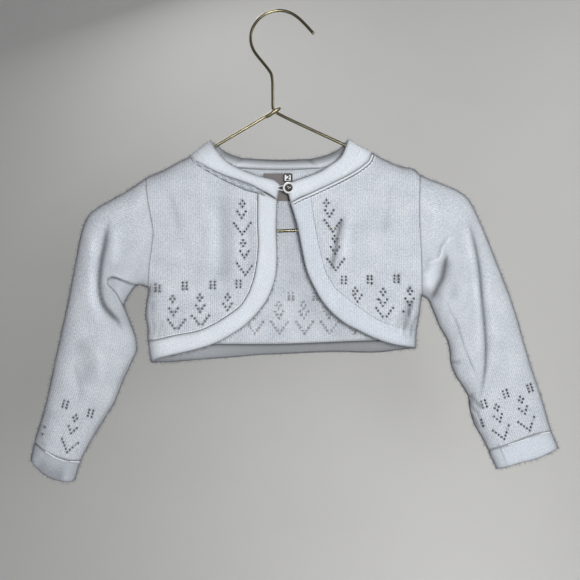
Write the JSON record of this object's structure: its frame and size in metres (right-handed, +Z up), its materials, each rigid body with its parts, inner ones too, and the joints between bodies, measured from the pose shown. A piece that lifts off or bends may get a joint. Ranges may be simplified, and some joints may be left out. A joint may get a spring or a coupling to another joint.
{
  "type": "child's bolero cardigan on a wire coat hanger",
  "caption": "Short-bodied child's knitted cardigan with rounded front edges, fastened by a button at the neck, hanging on a thin wire hanger.",
  "frame": {"origin": "point under the top of the hanger's hook where it bears on its support", "axes": "+X towards the viewer's right, which is the wearer's left; +Y out of the back, so the fronts face -Y; +Z up"},
  "size_m": [0.5291, 0.0396, 0.4748],
  "materials": {
    "knit": "fine white jersey with a light nap",
    "button": "pearl rim round a dark cut centre",
    "label": "woven satin tape",
    "size_tab": "woven white tape",
    "wire": "polished gold-toned wire"
  },
  "bodies": {
    "root": {"back": "knit", "back_hem_band": "knit", "neckband": "knit", "right_front": "knit", "left_front": "knit", "right_front_band": "knit", "left_front_band": "knit", "right_sleeve": "knit", "left_sleeve": "knit", "right_cuff": "knit", "left_cuff": "knit", "button": "button", "button_loop": "knit", "neck_label": "label", "size_label": "size_tab", "hanger": "wire"}
  },
  "joints": []
}
